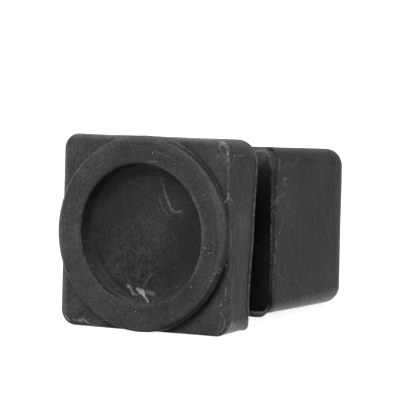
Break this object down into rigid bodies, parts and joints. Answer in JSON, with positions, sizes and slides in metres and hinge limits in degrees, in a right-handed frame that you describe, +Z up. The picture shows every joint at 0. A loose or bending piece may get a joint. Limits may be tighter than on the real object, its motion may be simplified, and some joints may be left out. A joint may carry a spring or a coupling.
{
  "type": "rubber foot",
  "caption": "Moulded rubber foot: square plate with a round tread ring and shallow recess, a narrow neck and a tapered square plug for a leg.",
  "frame": {"origin": "on the axis of the tread ring, level with the plug's front face, next to the groove", "axes": "+Y along the foot, away from the tread; the tread ring faces -Y; +Z up as the foot lies on its side, with the plate's thicker edge on top; +X to the right seen from the tread"},
  "size_m": [0.0302, 0.0451, 0.0302],
  "materials": {
    "rubber": "matt black moulded rubber, dusty and lightly scuffed"
  },
  "bodies": {
    "root": {"foot": "rubber"}
  },
  "joints": []
}
